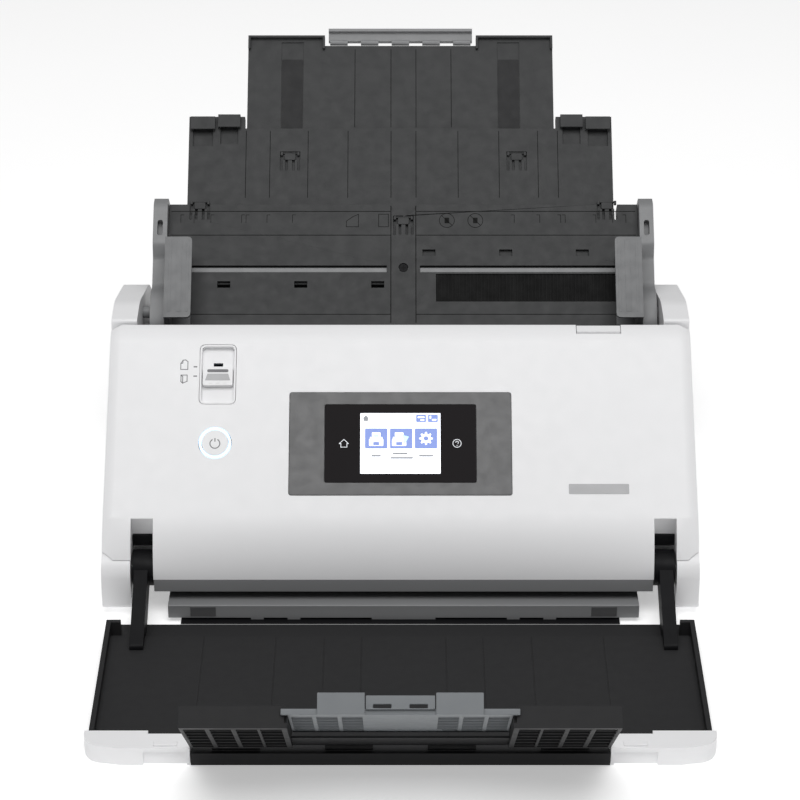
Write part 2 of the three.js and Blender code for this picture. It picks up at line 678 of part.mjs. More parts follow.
function inputTray() {
  const x0 = PATH_X - TRAY_HALF_WIDTH;
  const x1 = PATH_X + TRAY_HALF_WIDTH;
  const [railLeft, railRight] = [span(-1, 11, 150), span(1, 11, 150)];
  const skin = { back: SLEEVE.front - 0.1, front: -40 };
  const railSlots = [railLeft, railRight].map((x) =>
    block(...x, RAIL_U - 2.4, RAIL_U + 2.4, skin.back, skin.front),
  );
  const windows = [
    { columns: [-119, -68, -17], u: 125 },
    { columns: [17, 68, 119], u: 147.5 },
  ].flatMap(({ columns, u }) =>
    columns.map((x) => plate(centred(PATH_X + x, u, 8.6, 4.6), skin.back, skin.front)),
  );
  const tray = cut(
    block(x0, x1, TRAY_BOTTOM, TRAY_TOP, TRAY_BACK, PATH_FLOOR),
    block(-SLEEVE.half, SLEEVE.half, TRAY_BOTTOM + 1.5, TRAY_TOP + 5, SLEEVE.back, SLEEVE.front),
    block(PATH_X + 21.6, PATH_X + 140.5, 113, 132.5, -49.4, skin.front),
    post(9, PATH_X, TRAY_TOP + 1, SLEEVE.front - 1, skin.front),
    post(3.2, PATH_X, RAIL_U + 1, -49.4, skin.front, 20),
    ...railSlots,
    block(...span(1, -150, 150), RAIL_U - 2.4, RAIL_U + 2.4, skin.back, -48.9),
    ...windows,
    ...[-136, 136].flatMap((x) => comb(PATH_X + x, 185)),
    ...comb(PATH_X, 174),
  );
  piece(slope, "input_tray_base", tray, "tray");
  const rail = block(...span(1, -150 + GAP, 150 - GAP), RAIL_U - 2.1, RAIL_U + 1.3, -50, -49.2);
  piece(slope, "guide_rail", rail, "grey");

  const armShape = outline([
    [74, -62, 3],
    [74, -50, 3],
    [92, -33, 6],
    [113, -33, 6],
    [122, -44, 3],
    [142, -44, 2],
    [150, -38, 2],
    [178, -38, 3],
    [185, -44, 2],
    [185, -62, 2],
  ]);
  for (const { name, side } of SIDES) {
    const pin = rod(4, ...(side < 0 ? [-172, -160] : [164, 174]), TRAY_PIVOT.u, TRAY_PIVOT.v, 24);
    const arm = profile(armShape, ...span(side, 156.6, 166));
    const { x, u, width, height } = ARM_HOLE;
    const hole = plate(centred(PATH_X + side * x, u, width, height, width / 2), -44, -30);
    piece(slope, `input_tray_${name}_arm`, cut(join(arm, pin), hole), "grey");
    edgeGuide(name, side);
  }
}

function edgeGuide(name, side) {
  const { outer, inner, bottom, top } = GUIDE;
  const base = PATH_FLOOR + 0.4;
  const lip = PATH_FLOOR + GUIDE.height;
  const wall = block(...span(side, 152.5, outer), bottom, top, base, lip);
  const flange = plate(rectangle(...span(side, inner, outer), bottom, top, 3), lip - 2, lip);
  const foot = block(...span(side, inner + 2, outer), bottom + 4, top - 4, base, base + 1.8);
  piece(slope, `${name}_edge_guide`, join(wall, flange, foot), "guide");
}

function inputExtensions() {
  const first = EXTENSION_1;
  const wings = [-1, 1].map((side) =>
    block(...outwards(side, first.panel, first.half), 187, first.wing, first.back, first.front),
  );
  const hoodSizes = [
    { from: 108, to: 123, top: first.wing },
    { from: 125, to: 141.5, top: first.wing - 1.5 },
  ];
  const hoods = [-1, 1].flatMap((side) =>
    hoodSizes.map(({ from, to, top }) =>
      block(...outwards(side, from, to), top - 9, top, first.back, first.front + 4),
    ),
  );
  const hoodHollows = [-1, 1].flatMap((side) =>
    hoodSizes.map(({ from, to, top }) => {
      const x = outwards(side, from + 1.5, to - 1.5);
      return block(...x, top - 20, top - 1.2, first.front - 2.5, first.front + 2.6);
    }),
  );
  const sheet = block(-first.half, first.half, 126, first.top, first.back, first.front);
  const second = EXTENSION_2;
  const pocketHalf = second.half + 0.7;
  const pocket = block(-pocketHalf, pocketHalf, 127.5, 260, second.back - 0.4, second.front + 0.4);
  const combs = [-76.3, 76.3].flatMap((x) => comb(PATH_X + x, 221.5));
  const extension = cut(join(sheet, ...wings, ...hoods), pocket, ...hoodHollows, ...combs);
  piece(slope, "input_extension_1", extension, "tray");

  const panelTop = FLAP.bottom - 1;
  const sheet2 = block(-second.half, second.half, 190, panelTop, second.back, second.front);
  const sideBlocks = [-1, 1].map((side) => {
    const x = outwards(side, 51.5, second.half);
    return block(...x, panelTop - 3, second.top, second.back, second.front + 3);
  });
  const sideHollows = [-1, 1].map((side) => {
    const x = outwards(side, 53, second.half - 1.5);
    return block(...x, panelTop - 8, second.top - 1.5, second.front, second.front + 6);
  });
  const strips = [-1, 1].map((side) =>
    block(...outwards(side, 66, 81), 239, second.top - 4, second.front - 0.8, second.front + 1),
  );
  const lastSheet = cut(join(sheet2, ...sideBlocks), ...sideHollows, ...strips);
  piece(slope, "input_extension_2", lastSheet, "tray");

  const flap = join(
    block(-FLAP.half, FLAP.half, FLAP.bottom + 2.6, FLAP.top, second.back - 1, second.front),
    block(-FLAP.half, FLAP.half, FLAP.top - 2, FLAP.top, second.back - 1, second.front + 3),
    ...[-42, -21, 0, 21, 42].map((x) => rod(2, x - 6, x + 6, FLAP.bottom + 2, -54, 16)),
  );
  piece(slope, "top_flap", flap, "grey");
}

// Output tray

function outputTray() {
  const floor = block(-OUT_HALF_WIDTH, OUT_HALF_WIDTH, OUT_FRONT, OUT_REAR, 3, OUT_FLOOR);
  const backStrip = block(-OUT_HALF_WIDTH, OUT_HALF_WIDTH, OUT_REAR - 1, -15, 0, 2.5);
  const backStep = block(-OUT_HALF_WIDTH, OUT_HALF_WIDTH, OUT_REAR - 2, OUT_REAR, 0, OUT_FLOOR);
  const frontWall = block(-CAP.inner, CAP.inner, OUT_FRONT, OUT_FRONT + 2.5, 0, 8.5);
  const sideWalls = [-OUT_HALF_WIDTH, OUT_HALF_WIDTH - 3].map((x) =>
    block(x, x + 3, OUT_FRONT, -24, 0, OUT_RIM),
  );
  const rearCorners = [-OUT_HALF_WIDTH, 174].map((x) => block(x, x + 9, -27, -24, 0, OUT_RIM));
  const corners = SIDES.map(({ side }) =>
    block(...outwards(side, CAP.inner - GAP, 200), -170, CAP.rear + GAP, -5, 20),
  );
  const seams = [-123.6, -79, -49, -26, 26, 49, 79, 123.6].map((x) =>
    block(PATH_X + x - 0.4, PATH_X + x + 0.4, -138, OUT_REAR + 1, OUT_FLOOR - 0.4, 10),
  );
  const dish = join(floor, backStrip, backStep, frontWall, ...sideWalls, ...rearCorners);
  piece(body, "output_tray_base", cut(dish, ...corners, ...seams), "outputTray");

  for (const { name, side } of SIDES) {
    const capShape = outline([
      [side * CAP.inner, OUT_FRONT],
      [side * 164, OUT_FRONT],
      [side * 181, OUT_FRONT + 3, 5],
      [side * CAP.outer, OUT_FRONT + 11, 3.5],
      [side * CAP.outer, CAP.rear],
      [side * 148, CAP.rear],
      [side * 148, CAP.rear - 3],
      [side * CAP.inner, CAP.rear - 3],
    ]);
    const fingerNotch = block(...outwards(side, 124.5, 150), -160, OUT_FRONT + 1.6, -1, 9.8);
    piece(body, `${name}_tray_cap`, cut(plate(capShape, 0.2, OUT_RIM), fingerNotch), "white");

    const armShape = outline([
      [8, 35.5],
      [-38, 13, 4],
      [-48, 8.8, 2],
      [-48, OUT_FLOOR + GAP],
      [OUT_REAR + GAP, OUT_FLOOR + GAP],
      [OUT_REAR + GAP, 2.8],
      [-20, 2.8],
      [16, 19.5],
    ]);
    const x = span(side, ARM.from, ARM.to);
    const hub = span(side, NOTCH.from + 0.6, NOTCH.to - 0.6);
    const arm = cut(
      join(profile(armShape, ...x), rod(HUB_RADIUS, ...hub, PIVOT.y, PIVOT.z, 36)),
      rod(PIN_RADIUS + GAP, hub[0] - 1, hub[1] + 1, PIVOT.y, PIVOT.z, 20),
    );
    piece(body, `output_tray_${name}_arm`, arm, "black");
  }
}

function outputExtensions() {
  const raised = new THREE.Group();
  raised.position.set(0, OUT_HINGE.y, OUT_HINGE.z);
  raised.rotation.x = radians(-OUT_RISE);
  body.add(raised);

  const { half, inner, length, top, bottom, lip } = OUT_EXTENSION;
  const skins = [
    block(-half, half, -34, -1, 0.4, top),
    ...[-1, 1].map((side) => block(...outwards(side, inner, half), -length + 3, -1, 0.4, top)),
  ];
  const wings = [-1, 1].map((side) => block(...outwards(side, inner, half), -length, -9, bottom, 0.6));
  const cheeks = [-1, 1].map((side) =>
    block(...outwards(side, inner, inner + 2), -length + 3, DRAWER_REAR, 0.4, DRAWER + 1),
  );
  const lips = [-1, 1].map((side) =>
    block(...outwards(side, inner + 1.5, half), -length, -length + 2.5, bottom, lip),
  );
  const pockets = [-1, 1].flatMap((side) =>
    [65.5, 79, 93.5, 108].map((x) =>
      block(...outwards(side, x, x + 12), -length + 6, -14, bottom - 1, -0.6),
    ),
  );
  const barrels = [-96, -30, 30, 96].map((x) => rod(2.4, x - 14, x + 14, 0, 0, 16));
  const frame = join(...skins, ...wings, ...cheeks, ...lips, ...barrels);
  piece(raised, "output_extension_1", cut(frame, ...pockets), "outputTray");

  const drawer = new THREE.Group();
  drawer.position.z = DRAWER;
  raised.add(drawer);
  const slab = block(-inner + GAP, inner - GAP, -length - 1, DRAWER_REAR, bottom, 0.1);
  const slabLip = block(-65.8, 65.8, -length - 3, -length - 0.6, bottom, 1);
  const slabPockets = [-1, 1].flatMap((side) =>
    [21, 35, 49].map((x) =>
      block(...outwards(side, x, x + 11.5), -length + 6, DRAWER_REAR - 4, bottom - 1, -0.8),
    ),
  );
  piece(drawer, "output_extension_2", cut(join(slab, slabLip), ...slabPockets), "stopper");

  const front = -length - 3 - GAP;
  for (const { name, side } of SIDES) {
    const stopper = block(...outwards(side, 19.6, 45.7), front - 2, front, bottom, 9.6);
    piece(drawer, `${name}_stopper`, stopper, "stopper");
  }
  const windows = [-1, 1].map((side) =>
    block(...outwards(side, 5, 15), front - 4, front + 2, 0.9, 3.2),
  );
  const centre = cut(block(-19, 19, front - 2, front, 0.4, 8), ...windows);
  piece(drawer, "centre_stopper", centre, "stopper");
}

chassis();
SIDES.forEach(sideCover);
rearCover();
lowerPath();
rollers();
coverShell();
coverInside();
panel();
latch();
inputTray();
inputExtensions();
outputTray();
outputExtensions();

// The origin goes to the middle of the footprint, on the table.
const scanner = new THREE.Group();
scanner.add(body);
const box = new THREE.Box3().setFromObject(scanner, true);
body.position.set(-(box.min.x + box.max.x) / 2, -(box.min.y + box.max.y) / 2, -box.min.z);

export default scanner;
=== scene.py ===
"""The looks of a sheet fed document scanner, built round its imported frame."""

import json
import math

import bmesh
import bpy
from mathutils import Matrix, Vector

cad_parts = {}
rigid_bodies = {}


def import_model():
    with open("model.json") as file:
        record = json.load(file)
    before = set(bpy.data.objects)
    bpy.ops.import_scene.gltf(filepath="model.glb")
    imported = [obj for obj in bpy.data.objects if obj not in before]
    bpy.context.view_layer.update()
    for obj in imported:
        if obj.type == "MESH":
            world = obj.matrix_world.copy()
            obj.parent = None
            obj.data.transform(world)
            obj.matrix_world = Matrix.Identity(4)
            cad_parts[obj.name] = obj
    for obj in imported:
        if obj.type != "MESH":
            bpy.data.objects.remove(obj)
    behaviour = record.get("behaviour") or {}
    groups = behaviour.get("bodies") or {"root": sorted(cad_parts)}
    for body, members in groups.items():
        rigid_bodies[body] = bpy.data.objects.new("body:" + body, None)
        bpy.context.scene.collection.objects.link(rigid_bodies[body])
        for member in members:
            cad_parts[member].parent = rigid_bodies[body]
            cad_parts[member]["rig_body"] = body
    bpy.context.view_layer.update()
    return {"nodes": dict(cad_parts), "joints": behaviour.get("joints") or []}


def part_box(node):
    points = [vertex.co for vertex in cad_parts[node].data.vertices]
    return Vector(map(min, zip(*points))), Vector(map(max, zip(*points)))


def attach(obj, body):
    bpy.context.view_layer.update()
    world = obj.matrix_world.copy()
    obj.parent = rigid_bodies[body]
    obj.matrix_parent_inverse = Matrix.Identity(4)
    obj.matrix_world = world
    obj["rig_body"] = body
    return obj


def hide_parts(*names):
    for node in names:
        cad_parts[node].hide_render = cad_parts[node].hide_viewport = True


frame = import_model()

MM = 0.001
FACE_SLOPE = math.radians(42)
EXTENSION_RISE = math.radians(44)


# Frames that details are drawn in, in millimetres


def middle(node):
    low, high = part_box(node)
    return (low + high) / 2


def joint_point(name):
    return Vector(next(j for j in frame["joints"] if j["name"] == name)["pos_m"])


# The middle of the glass lies a tenth of a millimetre under the cover's face.
FACE_NORMAL = Vector((0, -math.sin(FACE_SLOPE), math.cos(FACE_SLOPE)))
FACE_POINT = middle("panel_glass") + 0.1 * MM * FACE_NORMAL
ROW = Matrix.Scale(MM, 4)
SLOPE = Matrix.Translation(FACE_POINT) @ Matrix.Rotation(FACE_SLOPE, 4, "X") @ ROW
RAISED = (
    Matrix.Translation(joint_point("output_extension_1_raise"))
    @ Matrix.Rotation(-EXTENSION_RISE, 4, "X")
    @ ROW
)
PATH_X = middle("lower_paper_guide").x / MM
TRAY_FACE = -48.0  # the input tray's surface, along the slope's normal


# Materials


class Surface:
    """A Principled material with its nodes at hand."""

    def __init__(self, name):
        self.material = bpy.data.materials.new(name)
        self.material.use_nodes = True
        tree = self.material.node_tree
        self.nodes = tree.nodes
        self.links = tree.links
        self.shader = self.nodes["Principled BSDF"]
        self.place = self.nodes.new("ShaderNodeTexCoord").outputs["Object"]

    def set(self, **values):
        for socket, value in values.items():
            self.shader.inputs[socket.replace("_", " ")].default_value = value
        return self

    def noise(self, per_metre, detail=2.0, stretch=None):
        texture = self.nodes.new("ShaderNodeTexNoise")
        texture.inputs["Scale"].default_value = per_metre
        texture.inputs["Detail"].default_value = detail
        place = self.place
        if stretch:
            mapping = self.nodes.new("ShaderNodeMapping")
            mapping.inputs["Scale"].default_value = stretch
            self.links.new(place, mapping.inputs["Vector"])
            place = mapping.outputs["Vector"]
        self.links.new(place, texture.inputs["Vector"])
        return texture.outputs["Fac"]

    def spread(self, value, low, high):
        """Maps a noise value's middle range onto low to high."""
        node = self.nodes.new("ShaderNodeMapRange")
        node.inputs["From Min"].default_value = 0.3
        node.inputs["From Max"].default_value = 0.7
        node.inputs["To Min"].default_value = low
        node.inputs["To Max"].default_value = high
        self.links.new(value, node.inputs["Value"])
        return node.outputs["Result"]

    def mixed(self, factor, first, second):
        node = self.nodes.new("ShaderNodeMix")
        node.data_type = "RGBA"
        sockets = {s.identifier: s for s in node.inputs}
        self.links.new(factor, sockets["Factor_Float"])
        for key, value in (("A_Color", first), ("B_Color", second)):
            if isinstance(value, tuple):
                sockets[key].default_value = (*value, 1)
            else:
                self.links.new(value, sockets[key])
        return next(s for s in node.outputs if s.identifier == "Result_Color")

    def colour(self, output):
        self.links.new(output, self.shader.inputs["Base Color"])

    def roughness(self, output):
        self.links.new(output, self.shader.inputs["Roughness"])

    def bump(self, height, strength, distance):
        node = self.nodes.new("ShaderNodeBump")
        node.inputs["Strength"].default_value = strength
        node.inputs["Distance"].default_value = distance
        self.links.new(height, node.inputs["Height"])
        self.links.new(node.outputs["Normal"], self.shader.inputs["Normal"])


def shaded(colour, factor):
    return tuple(min(1.0, c * factor) for c in colour)


def moulded(name, colour, roughness=0.45, grain=0.25, drift=0.05, specular=0.5):
    """Injection moulded plastic: a fine spark texture and a slight drift in tone."""
    surface = Surface(name).set(Specular_IOR_Level=specular)
    patches = surface.spread(surface.noise(9), 0, 1)
    drifted = surface.mixed(patches, shaded(colour, 1 - drift), shaded(colour, 1 + drift / 2))
    speckle = surface.spread(surface.noise(2600, 3), 0, 0.5)
    surface.colour(surface.mixed(speckle, drifted, shaded(colour, 1 - drift)))
    surface.roughness(surface.spread(surface.noise(140, 4), roughness - 0.05, roughness + 0.07))
    surface.bump(surface.noise(2300, 2), grain, 0.00005)
    return surface.material


def polished(name, colour, roughness=0.08, coat=0.6, specular=0.5):
    """Glossy plastic or backed glass, with faint wiping marks in its gloss."""
    surface = Surface(name).set(Coat_Weight=coat, Coat_Roughness=0.04, Specular_IOR_Level=specular)
    patches = surface.spread(surface.noise(25), 0, 1)
    surface.colour(surface.mixed(patches, shaded(colour, 0.9), colour))
    surface.roughness(surface.spread(surface.noise(90, 5, (1, 6, 1)), roughness, roughness + 0.06))
    surface.bump(surface.noise(40, 1), 0.04, 0.0001)
    return surface.material


def lit(name, colour, strength):
    """A part of the display, or a lit ring, with a trace of unevenness in its glow."""
    surface = Surface(name).set(Emission_Strength=strength, Roughness=0.3)
    tone = surface.mixed(surface.spread(surface.noise(60, 1), 0, 1), shaded(colour, 0.96), colour)
    surface.colour(tone)
    surface.links.new(tone, surface.shader.inputs["Emission Color"])
    return surface.material


def metal(name, colour, roughness=0.28):
    """Turned steel, with fine marks round the bar."""
    surface = Surface(name).set(Metallic=1.0)
    marks = surface.noise(900, 3, (4, 0.4, 0.4))
    surface.colour(surface.mixed(surface.spread(marks, 0, 1), shaded(colour, 0.85), colour))
    surface.roughness(surface.spread(marks, roughness - 0.06, roughness + 0.1))
    surface.bump(marks, 0.15, 0.00003)
    return surface.material


def rubbery(name, colour):
    surface = Surface(name).set(Specular_IOR_Level=0.3)
    patches = surface.spread(surface.noise(400, 4), 0, 1)
    surface.colour(surface.mixed(patches, shaded(colour, 0.75), shaded(colour, 1.3)))
    surface.roughness(surface.spread(surface.noise(700, 4), 0.7, 0.9))
    surface.bump(surface.noise(1500, 4), 0.5, 0.0001)
    return surface.material


def circuit(name):
    """Solder mask with the tracks showing as paler lines under it."""
    surface = Surface(name).set(Roughness=0.3, Coat_Weight=0.4)
    tracks = surface.nodes.new("ShaderNodeTexVoronoi")
    tracks.distance = "MANHATTAN"
    tracks.inputs["Scale"].default_value = 140
    surface.links.new(surface.place, tracks.inputs["Vector"])
    track, mask = (0.05, 0.22, 0.09), (0.012, 0.08, 0.03)
    surface.colour(surface.mixed(tracks.outputs["Distance"], track, mask))
    surface.bump(tracks.outputs["Distance"], 0.2, 0.0001)
    return surface.material


LOOKS = {
    "body_white": moulded("white_plastic", (0.86, 0.86, 0.87), 0.42, grain=0.12, drift=0.015),
    "inner_black": moulded("black_plastic", (0.007, 0.007, 0.008), 0.5, specular=0.12),
    "tray_grey": moulded("charcoal_plastic", (0.038, 0.039, 0.04), 0.5, drift=0.03, specular=0.25),
    "output_black": moulded("dark_charcoal_plastic", (0.026, 0.026, 0.027), 0.5, specular=0.12),
    "trim_grey": moulded("mid_grey_plastic", (0.235, 0.238, 0.243), 0.48),
    "guide_grey": moulded("guide_plastic", (0.14, 0.143, 0.147), 0.42),
    "stopper_grey": moulded("stopper_plastic", (0.16, 0.172, 0.182), 0.45),
    "bezel_grey": moulded("bezel_plastic", (0.083, 0.083, 0.085), 0.4, grain=0.15),
    "panel_glass": polished("backed_glass", (0.006, 0.004, 0.005), 0.06, coat=0.0, specular=0.04),
    "lcd": lit("display_white", (0.9, 0.93, 1.0), 0.9),
    "ring_light": lit("ring_glow", (0.62, 0.82, 1.0), 0.8),
    "rubber": rubbery("roller_rubber", (0.03, 0.03, 0.032)),
    "steel": metal("turned_steel", (0.62, 0.63, 0.64)),
    "sensor_glass": polished("sensor_glass", (0.08, 0.09, 0.1), 0.05),
    "circuit_green": circuit("solder_mask"),
}

# Which finish each CAD node takes, and how far its edges are rounded, in millimetres.
NODES = {
    ("body_white", 0.5): (
        "front_cover_shell left_side_cover right_side_cover rear_cover left_tray_cap right_tray_cap"
    ),
    ("body_white", 0.3): "selector_housing feed_selector power_button cover_lever",
    ("inner_black", 0.4): (
        "base_chassis lower_paper_guide lower_image_sensor cover_inner_frame upper_image_sensor "
        "output_tray_left_arm output_tray_right_arm power_inlet"
    ),
    ("tray_grey", 0.3): "input_tray_base input_extension_1 input_extension_2",
    ("output_black", 0.3): "output_tray_base output_extension_1",
    ("trim_grey", 0.5): (
        "cover_lip exit_guide top_flap guide_rail input_tray_left_arm input_tray_right_arm"
    ),
    ("guide_grey", 0.5): "left_edge_guide right_edge_guide",
    ("stopper_grey", 0.4): "output_extension_2 centre_stopper left_stopper right_stopper",
    ("bezel_grey", 0.3): "panel_bezel",
    ("panel_glass", 0.2): "panel_glass",
    ("lcd", 0.1): "lcd_screen",
    ("ring_light", 0.15): "power_button_ring",
    ("rubber", 0.3): (
        "separation_roller pickup_roller feed_roller feed_idler_roller exit_roller "
        "exit_idler_roller drive_belt front_left_foot front_right_foot rear_left_foot rear_right_foot"
    ),
    ("steel", 0.2): (
        "left_hinge_pin right_hinge_pin latch_shaft feed_motor motor_pulley usb_port network_port"
    ),
    ("sensor_glass", 0.1): "lower_sensor_glass upper_sensor_glass",
    ("circuit_green", 0.1): "main_board",
}


# Meshes


BEVELLED_FROM = math.radians(32)  # edges turning more sharply than this are rounded


def finish_mesh(piece, rounding, segments=3):
    """Rounds the edges and shades the result smooth."""
    for polygon in piece.data.polygons:
        polygon.use_smooth = True
    bevel = piece.modifiers.new("rounded edges", "BEVEL")
    bevel.width = rounding * MM
    bevel.segments = segments
    bevel.limit_method = "ANGLE"
    bevel.angle_limit = BEVELLED_FROM
    bevel.miter_outer = "MITER_ARC"
    normals = piece.modifiers.new("flat faces", "WEIGHTED_NORMAL")
    normals.weight = 100


def refined(node, slot, rounding):
    """A CAD node's shape, welded, with rounded edges and a finished material."""
    bm = bmesh.new()
    bm.from_mesh(frame["nodes"][node].data)
    bmesh.ops.remove_doubles(bm, verts=bm.verts, dist=2e-6)
    bm.verts.index_update()
    faces = [[v.index for v in face.verts] for face in bm.faces]
    mesh = bpy.data.meshes.new(f"{node}.finished")
    mesh.from_pydata([v.co.copy() for v in bm.verts], [], faces)
    bm.free()
    mesh.materials.append(LOOKS[slot])
    piece = bpy.data.objects.new(f"{node}.finished", mesh)
    bpy.context.scene.collection.objects.link(piece)
    finish_mesh(piece, rounding)
    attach(piece, frame["nodes"][node]["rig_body"])
    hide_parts(node)


class Drawing:
    """Closed solids gathered into one piece, drawn in millimetres in one of the frames."""

    def __init__(self, placed):
        self.bm = bmesh.new()
        self.placed = placed

    def prism(self, corners, low, high):
        """An outline of (x, y) corners, solid between two heights."""
        bottom = [self.bm.verts.new((x, y, low)) for x, y in corners]
        top = [self.bm.verts.new((x, y, high)) for x, y in corners]
        self.bm.faces.new(reversed(bottom))
        self.bm.faces.new(top)
        for i in range(len(corners)):
            self.bm.faces.new((bottom[i - 1], bottom[i], top[i], top[i - 1]))
        return self

    def block(self, x0, x1, y0, y1, z0, z1):
        return self.prism([(x0, y0), (x1, y0), (x1, y1), (x0, y1)], z0, z1)

    def slab(self, x, y, width, height, low, high, corner=0.5):
        return self.prism(rounded(x, y, width, height, corner), low, high)

    def disc(self, x, y, radius, low, high, sides=40):
        return self.prism(arc(x, y, radius, 0, 360, sides)[:-1], low, high)

    def ring(self, x, y, radius, width, low, high, start=0, end=360, sides=48):
        """A ring, or the arc of one from start to end in degrees."""
        steps = max(6, round(sides * (end - start) / 360))
        inner = arc(x, y, radius - width / 2, start, end, steps)
        outer = arc(x, y, radius + width / 2, start, end, steps)
        if end - start < 360:
            return self.prism(outer + inner[::-1], low, high)
        rings = [
            [self.bm.verts.new((a, b, z)) for a, b in line[:-1]]
            for line, z in ((inner, low), (outer, low), (outer, high), (inner, high))
        ]
        for near, far in zip(rings, rings[1:] + rings[:1]):
            for i in range(steps):
                self.bm.faces.new((near[i - 1], near[i], far[i], far[i - 1]))
        return self

    def line(self, x0, y0, x1, y1, width, low, high):
        along = Vector((x1 - x0, y1 - y0)).normalized() * width / 2
        across = Vector((-along.y, along.x))
        start = Vector((x0, y0)) - along
        end = Vector((x1, y1)) + along
        corners = [start - across, end - across, end + across, start + across]
        return self.prism([tuple(c) for c in corners], low, high)

    def path(self, points, width, low, high, closed=False):
        ends = points[1:] + points[:1] if closed else points[1:]
        for (x0, y0), (x1, y1) in zip(points, ends):
            self.line(x0, y0, x1, y1, width, low, high)
        return self

    def made(self, name, body, slot, material=None, rounding=0.0, segments=2):
        bmesh.ops.recalc_face_normals(self.bm, faces=self.bm.faces)
        self.bm.transform(self.placed)
        mesh = bpy.data.meshes.new(name)
        self.bm.to_mesh(mesh)
        self.bm.free()
        mesh.materials.append(material or LOOKS[slot])
        piece = bpy.data.objects.new(name, mesh)
        bpy.context.scene.collection.objects.link(piece)
        if rounding:
            finish_mesh(piece, rounding, segments)
        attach(piece, body)


def arc(x, y, radius, start, end, steps):
    angles = [math.radians(start + (end - start) * i / steps) for i in range(steps + 1)]
    return [(x + radius * math.cos(a), y + radius * math.sin(a)) for a in angles]


def rounded(x, y, width, height, corner, steps=4):
    """A rectangle's outline round a middle point, with rounded corners."""
    a = width / 2 - corner
    b = height / 2 - corner
    turns = [(a, b, 0), (-a, b, 90), (-a, -b, 180), (a, -b, 270)]
    corners = [arc(x + dx, y + dy, corner, start, start + 90, steps) for dx, dy, start in turns]
    return [point for corner_points in corners for point in corner_points]


# Control panel

SCREEN_GREY = lit("display_grey", (0.2, 0.21, 0.23), 0.35)
TILE_BLUE = lit("display_blue", (0.13, 0.2, 0.52), 0.6)
TILE_PALE = lit("display_pale", (0.45, 0.72, 0.9), 0.8)
# Dark grey print, also used as painted shade in the feed selector's slot.
INK_AND_SLOT_SHADE = moulded("printed_ink_and_slot_shade", (0.16, 0.16, 0.17), 0.5, grain=0.05)
KEY_WHITE = lit("key_symbol", (0.7, 0.72, 0.75), 0.35)
# Grey of the name plate and the blank label, also used as painted shade on the feed selector's sloped
# facet.
PLATE_AND_FACET_SHADE_GREY = moulded("name_plate", (0.42, 0.42, 0.43), 0.35, grain=0.1)
RING_WHITE = lit("ring_core", (0.95, 0.98, 1.0), 0.9)

GLASS_TOP = 0.5
LAYER = 0.03  # thickness of each printed or displayed layer


def gear_outline(x, y, radius, teeth=8):
    """A gear's outline, with a narrow tooth between two gaps for each tooth."""
    points = []
    for i in range(teeth):
        turn = 360 / teeth * i
        for offset, reach in ((-13, 0.72), (-7, 1.0), (7, 1.0), (13, 0.72)):
            angle = math.radians(turn + offset)
            out = radius * reach
            points.append((x + out * math.cos(angle), y + out * math.sin(angle)))
    return points


def home_outline(x, y, size):
    return [
        (x - size, y), (x, y + 0.95 * size), (x + size, y),
        (x + 0.66 * size, y), (x + 0.66 * size, y - 0.8 * size),
        (x - 0.66 * size, y - 0.8 * size), (x - 0.66 * size, y),
    ]


def small_scanner(drawing, x, y, low, high):
    """A pictogram of a scanner: a body with a sheet standing in it."""
    drawing.slab(x, y - 2.4, 9, 4.6, low, high, 0.4)
    drawing.slab(x, y + 2, 5.4, 4.4, low, high, 0.3)
    drawing.slab(x - 3.4, y + 0.4, 1, 1.6, low, high, 0.2)
    drawing.slab(x + 3.4, y + 0.4, 1, 1.6, low, high, 0.2)


def display():
    base = GLASS_TOP
    image = Drawing(SLOPE).slab(0, 0, 50.7, 40, base, base + LAYER, 0.4)
    image.made("screen_image", "cover", "lcd")
    base += LAYER
    tiles = Drawing(SLOPE)
    for x in (-15.3, 0.5, 16.2):
        tiles.slab(x, 3.2, 14.2, 13.3, base, base + LAYER, 0.7)
    for x in (13.1, 20.6):
        tiles.slab(x, 16.5, 6.3, 5.0, base, base + LAYER, 0.6)
    tiles.made("screen_tiles", "cover", "lcd", TILE_BLUE)

    dark = Drawing(SLOPE).prism(home_outline(-21.9, 16.5, 2.2), base, base + LAYER)
    labels = ((-15.3, 6.0, -8.2), (-0.2, 9.6, -6.8), (0.9, 14.2, -9.6), (16.2, 9.0, -8.2))
    for x, width, u in labels:
        dark.slab(x, u, width, 1.1, base, base + LAYER, 0.5)
    dark.made("screen_labels", "cover", "lcd", SCREEN_GREY)

    base += LAYER
    light = Drawing(SLOPE)
    small_scanner(light, -15.3, 3.0, base, base + LAYER)
    small_scanner(light, -0.8, 3.0, base, base + LAYER)
    light.prism(gear_outline(16.2, 3.2, 4.3), base, base + LAYER)
    light.slab(13.1, 17.3, 4.4, 1.0, base, base + LAYER, 0.4)
    light.slab(13.9, 15.4, 2.6, 0.9, base, base + LAYER, 0.4)
    light.slab(19.0, 17.2, 1.0, 2.0, base, base + LAYER, 0.3)
    light.slab(21.4, 15.5, 2.8, 1.2, base, base + LAYER, 0.4)
    light.made("screen_symbols", "cover", "lcd")

    base += LAYER
    marks = Drawing(SLOPE)
    marks.slab(-15.3, -0.2, 3.8, 2.2, base, base + LAYER, 0.3)
    marks.slab(-0.8, -0.2, 3.8, 2.2, base, base + LAYER, 0.3)
    marks.disc(16.2, 3.2, 1.5, base, base + LAYER)
    marks.made("screen_symbol_marks", "cover", "lcd", TILE_BLUE)
    tints = Drawing(SLOPE).slab(-15.3, 5.0, 3.0, 1.9, base, base + LAYER, 0.2)
    tints.prism([(1.2, 5.4), (5.4, 4.4), (2.4, -1.4)], base, base + LAYER)
    tints.made("screen_symbol_tints", "cover", "lcd", TILE_PALE)


